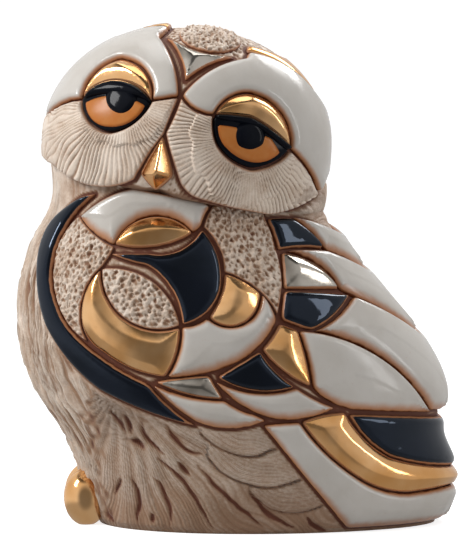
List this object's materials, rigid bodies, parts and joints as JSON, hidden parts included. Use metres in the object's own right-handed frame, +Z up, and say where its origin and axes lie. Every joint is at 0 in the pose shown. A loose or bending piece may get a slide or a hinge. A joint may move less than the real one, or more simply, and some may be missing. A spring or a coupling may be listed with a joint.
{
  "type": "owl figurine",
  "caption": "Standing owl figurine of cast ceramic with carved bisque and raised cells of white, black, gold and platinum glaze, looking over its wing.",
  "frame": {"origin": "centre of the figurine's box at the flat base", "axes": "+Z up, the owl's face looks along -Y, its breast faces -X and its tail points to +X"},
  "size_m": [0.0967, 0.0628, 0.1103],
  "materials": {
    "body_bisque": "carved bisque with a pearl wash, brown stain in the cuts",
    "head_bisque": "fluted and stippled bisque with a pearl wash",
    "white_glaze": "gloss white glaze, stained brown at its edges",
    "black_glaze": "gloss blue-black glaze",
    "gold_lustre": "polished gold lustre on glaze",
    "platinum_lustre": "polished platinum lustre on glaze",
    "amber_glaze": "translucent amber glaze"
  },
  "bodies": {
    "root": {"beak": "gold_lustre", "body_casting": "body_bisque", "forehead_star": "platinum_lustre", "head_casting": "head_bisque", "left_crown_crescent": "gold_lustre", "left_eye_black": "black_glaze", "left_eyelid": "gold_lustre", "left_foot": "gold_lustre", "left_iris": "amber_glaze", "left_upper_disc": "white_glaze", "left_wing_covert_black_low": "black_glaze", "left_wing_covert_black_mid": "black_glaze", "left_wing_covert_black_top": "black_glaze", "left_wing_covert_gold": "gold_lustre", "left_wing_covert_platinum_low": "platinum_lustre", "left_wing_covert_platinum_top": "platinum_lustre", "left_wing_covert_white_1": "white_glaze", "left_wing_covert_white_2": "white_glaze", "left_wing_feather_1": "white_glaze", "left_wing_feather_2": "white_glaze", "left_wing_feather_3": "white_glaze", "left_wing_feather_4": "white_glaze", "left_wing_leading_edge": "black_glaze", "left_wing_roundel_black": "black_glaze", "left_wing_roundel_gold_crescent": "gold_lustre", "left_wing_roundel_gold_gem": "gold_lustre", "left_wing_roundel_gold_lens": "gold_lustre", "left_wing_roundel_white_arch": "white_glaze", "left_wing_roundel_white_crescent": "white_glaze", "left_wing_tail_black": "black_glaze", "left_wing_tail_gold": "gold_lustre", "left_wing_tail_white": "white_glaze", "right_crown_crescent": "gold_lustre", "right_eye_black": "black_glaze", "right_eyelid": "gold_lustre", "right_foot": "gold_lustre", "right_iris": "amber_glaze", "right_upper_disc": "white_glaze", "right_wing_covert_black_low": "black_glaze", "right_wing_covert_black_mid": "black_glaze", "right_wing_covert_black_top": "black_glaze", "right_wing_covert_gold": "gold_lustre", "right_wing_covert_platinum_low": "platinum_lustre", "right_wing_covert_platinum_top": "platinum_lustre", "right_wing_covert_white_1": "white_glaze", "right_wing_covert_white_2": "white_glaze", "right_wing_feather_1": "white_glaze", "right_wing_feather_2": "white_glaze", "right_wing_feather_3": "white_glaze", "right_wing_feather_4": "white_glaze", "right_wing_leading_edge": "black_glaze", "right_wing_roundel_black": "black_glaze", "right_wing_roundel_gold_crescent": "gold_lustre", "right_wing_roundel_gold_gem": "gold_lustre", "right_wing_roundel_gold_lens": "gold_lustre", "right_wing_roundel_white_arch": "white_glaze", "right_wing_roundel_white_crescent": "white_glaze", "right_wing_tail_black": "black_glaze", "right_wing_tail_gold": "gold_lustre", "right_wing_tail_white": "white_glaze"}
  },
  "joints": []
}
